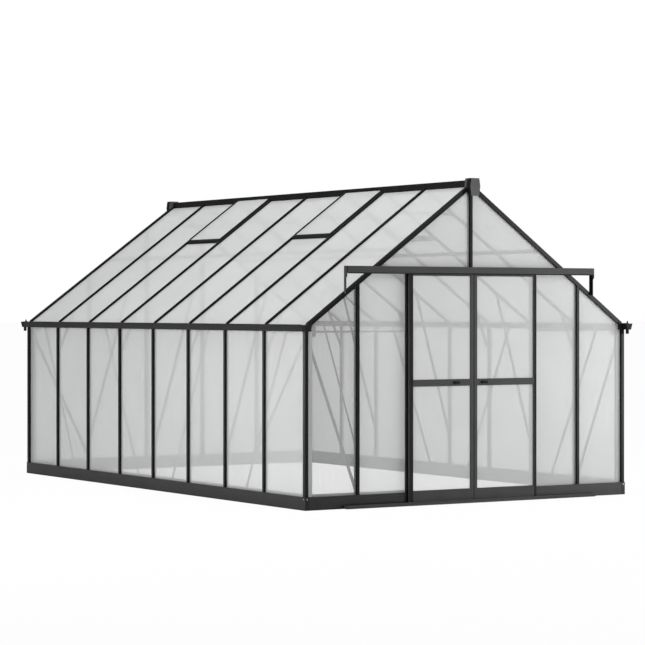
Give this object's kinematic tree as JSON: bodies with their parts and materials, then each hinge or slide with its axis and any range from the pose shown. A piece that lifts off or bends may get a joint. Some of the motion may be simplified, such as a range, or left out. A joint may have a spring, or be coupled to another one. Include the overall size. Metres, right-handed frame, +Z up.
{
  "type": "polycarbonate greenhouse",
  "caption": "Walk-in gable greenhouse with a dark metal frame, milky twin-wall panels, roof vents, eave gutters and a double sliding door in the front gable.",
  "frame": {"origin": "middle of the footprint, on the ground", "axes": "+X to the right seen from the door, +Y from the door gable to the back gable, +Z up"},
  "size_m": [3.125, 4.998, 2.5281],
  "materials": {
    "frame": "dark grey powder coat, half gloss",
    "caps": "dark grey moulded plastic, satin",
    "panels": "milky translucent twin-wall sheet with fine upright flutes",
    "handles": "black moulded plastic, satin",
    "trolleys": "black nylon, matt"
  },
  "bodies": {
    "root": {"base_left": "frame", "base_right": "frame", "base_front": "frame", "base_back": "frame", "corner_posts": "frame", "left_wall_posts": "frame", "right_wall_posts": "frame", "front_wall_posts": "frame", "back_wall_posts": "frame", "door_jambs": "frame", "door_header": "frame", "eave_rails": "frame", "side_wall_braces": "frame", "gable_wall_braces": "frame", "knee_braces": "frame", "left_gutter": "frame", "right_gutter": "frame", "ridge_beam": "frame", "left_rafters": "frame", "right_rafters": "frame", "gable_rafters": "frame", "purlins": "frame", "collar_ties": "frame", "vent_frames": "frame", "vent_curbs": "frame", "door_track": "frame", "track_supports": "frame", "door_sill": "frame", "gutter_ends": "caps", "ridge_caps": "caps", "left_wall_panels": "panels", "right_wall_panels": "panels", "front_wall_panels": "panels", "back_wall_panels": "panels", "left_roof_panels": "panels", "right_roof_panels": "panels", "vent_panels": "panels"},
    "left_door": {"left_door_frame": "frame", "left_door_panels": "panels", "left_door_handle": "handles", "left_door_trolleys": "trolleys"},
    "right_door": {"right_door_frame": "frame", "right_door_panels": "panels", "right_door_handle": "handles", "right_door_trolleys": "trolleys"}
  },
  "joints": [
    {"name": "left_door_slide", "type": "slide", "parent": "root", "child": "left_door", "axis": [-1, 0, 0], "range_m": [0, 0.565]},
    {"name": "right_door_slide", "type": "slide", "parent": "root", "child": "right_door", "axis": [1, 0, 0], "range_m": [0, 0.565]}
  ]
}
